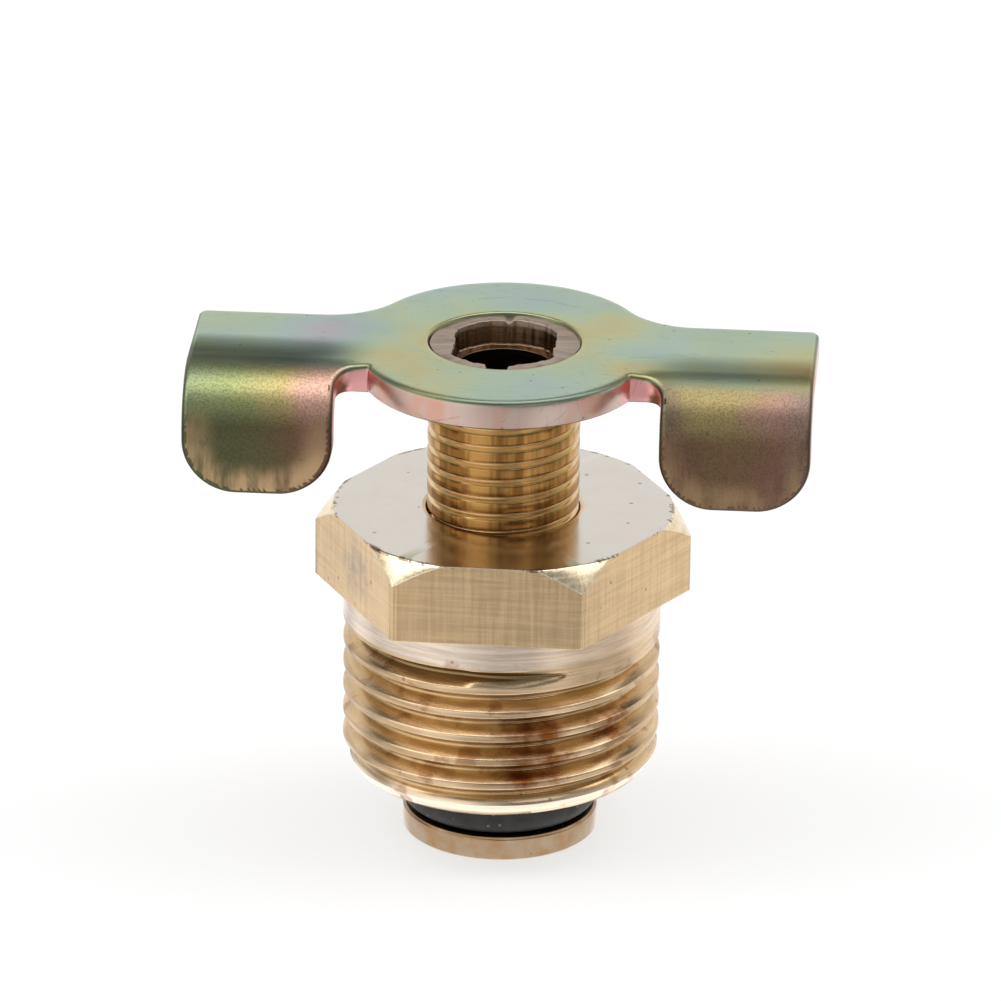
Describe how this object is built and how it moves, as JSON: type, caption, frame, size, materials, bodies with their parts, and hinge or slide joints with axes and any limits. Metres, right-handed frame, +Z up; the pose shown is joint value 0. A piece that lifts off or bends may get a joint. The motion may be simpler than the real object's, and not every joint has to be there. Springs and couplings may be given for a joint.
{
  "type": "tank drain valve",
  "caption": "Hand-turned drain valve for an air tank: hexagon body with a parallel pipe thread, hollow screw stem with an O-ring seat, and a bent wing handle.",
  "frame": {"origin": "centre of the underside of the valve disc, where the valve's axis leaves the foot", "axes": "+Z up along the valve's axis towards the handle; +X along the wings; the handle's tabs hang on the -Y side; two flats of the hexagon face -Y and +Y"},
  "size_m": [0.0323, 0.017, 0.0271],
  "materials": {
    "body_brass": "turned and drawn brass, lightly tarnished",
    "stem_brass": "turned brass, deeper golden brown",
    "seal_rubber": "moulded nitrile rubber, slightly dusty",
    "zinced_steel": "stamped steel with iridescent yellow zinc plating"
  },
  "bodies": {
    "valve_body": {"valve_body": "body_brass"},
    "seal": {"seat_o_ring": "seal_rubber"},
    "stem_assembly": {"valve_stem": "stem_brass", "wing_handle": "zinced_steel"}
  },
  "joints": [
    {"name": "stem_feed", "type": "slide", "parent": "valve_body", "child": "seal", "axis": [0, 0, 1], "range_m": [-0.00565, 0]},
    {"name": "stem_turn", "type": "hinge", "parent": "seal", "child": "stem_assembly", "pos_m": [0, 0, 0.0163], "axis": [0, 0, 1], "range_deg": [-2160, 0]}
  ],
  "couplings": [
    {"joint": "stem_feed", "follows": "stem_turn", "m_per_rad": 0.00014961}
  ]
}
